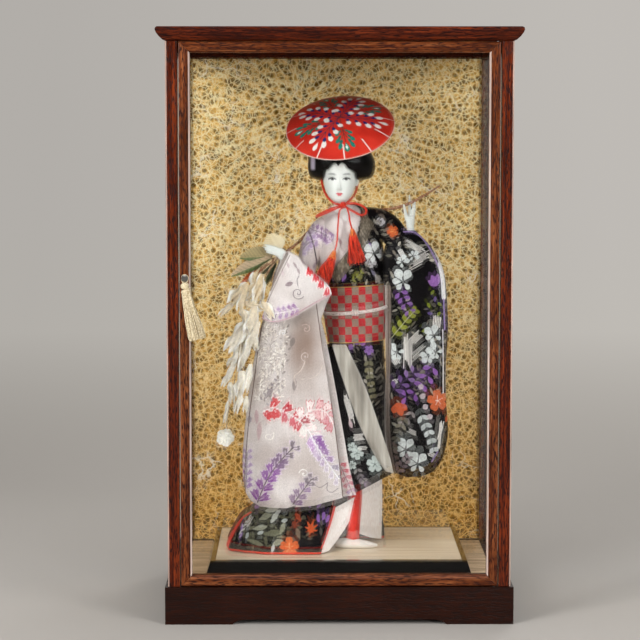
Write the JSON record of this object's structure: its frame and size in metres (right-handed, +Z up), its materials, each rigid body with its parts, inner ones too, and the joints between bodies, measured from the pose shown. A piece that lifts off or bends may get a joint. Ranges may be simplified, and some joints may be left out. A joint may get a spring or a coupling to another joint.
{
  "type": "cased dance doll",
  "caption": "Dressed Japanese dance doll in a lacquered hat, holding a wisteria branch, on a stand inside a wooden display case with a hinged glazed door.",
  "frame": {"origin": "on the ground under the middle of the display case", "axes": "+Z up, +X to the viewer's right, the glazed door faces -Y"},
  "size_m": [0.365, 0.2796, 0.6],
  "materials": {
    "stained_wood": "stained and lacquered, satin with visible grain",
    "floor_print": "matt printed wood-grain paper",
    "gold_paper": "matt fibrous gold paper on board",
    "pane": "clear polished sheet",
    "pewter": "dull polished metal",
    "steel": "plain drawn steel",
    "magnet": "dark moulded",
    "cream_thread": "twisted silky thread",
    "black_lacquer": "high-gloss black lacquer",
    "pale_wood": "fine straight grain, satin",
    "white_shell_paint": "smooth satin white shell paint",
    "black_hair": "glossy combed silk",
    "red_lacquer": "glossy red lacquer with painted sprays",
    "pale_brocade": "satin brocade, pale with woven sprays",
    "dark_brocade": "satin brocade, black with woven flowers and metal thread",
    "lining_satin": "plain grey satin",
    "white_lining": "plain soft white silk",
    "red_silk": "plain red silk",
    "checked_brocade": "woven red and grey-gold check",
    "twig": "bare brown bark",
    "silk_petals": "matt cream crepe",
    "silk_leaves": "matt dyed silk",
    "straw": "bound straw and paper"
  },
  "bodies": {
    "case": {"base_front_board": "stained_wood", "base_rear_board": "stained_wood", "base_left_board": "stained_wood", "base_right_board": "stained_wood", "front_left_post": "stained_wood", "rear_left_post": "stained_wood", "front_right_post": "stained_wood", "rear_right_post": "stained_wood", "cornice_front": "stained_wood", "cornice_left": "stained_wood", "cornice_right": "stained_wood", "cornice_rear": "stained_wood", "top_board": "stained_wood", "floor_board": "floor_print", "back_panel": "gold_paper", "left_glass": "pane", "right_glass": "pane", "lower_pivot_pin": "steel", "upper_pivot_pin": "steel", "leg_wire": "steel", "catch_magnet": "magnet", "stand_frame": "black_lacquer", "stand_top": "pale_wood", "head": "white_shell_paint", "right_hand": "white_shell_paint", "left_hand": "white_shell_paint", "foot": "white_shell_paint", "hair": "black_hair", "hat": "red_lacquer", "pale_bodice": "pale_brocade", "pale_sleeve": "pale_brocade", "dark_bodice": "dark_brocade", "dark_sleeve": "dark_brocade", "skirt": "dark_brocade", "train": "dark_brocade", "front_panel": "lining_satin", "left_lining": "white_lining", "right_lining": "white_lining", "sash_cord": "white_lining", "chin_cord": "red_silk", "left_cord_end": "red_silk", "right_cord_end": "red_silk", "left_chin_tassel": "red_silk", "right_chin_tassel": "red_silk", "underskirt": "red_silk", "sash": "checked_brocade", "sash_knot": "checked_brocade", "branch": "twig", "wisteria": "silk_petals", "leaves": "silk_leaves", "straw_body": "straw"},
    "door": {"door_bottom_rail": "stained_wood", "door_top_rail": "stained_wood", "door_left_stile": "stained_wood", "door_right_stile": "stained_wood", "door_glass": "pane", "door_knob": "pewter", "catch_strike": "steel"},
    "tassel": {"pull_cord": "cream_thread", "pull_tassel": "cream_thread"}
  },
  "joints": [
    {"name": "door_hinge", "type": "hinge", "parent": "case", "child": "door", "pos_m": [0.1566, -0.12705, 0.312], "axis": [0, 0, 1], "range_deg": [0, 100]},
    {"name": "tassel_swing", "type": "hinge", "parent": "door", "child": "tassel", "pos_m": [-0.1543, -0.13265, 0.351], "axis": [0, 1, 0], "range_deg": [-20, 35]}
  ]
}
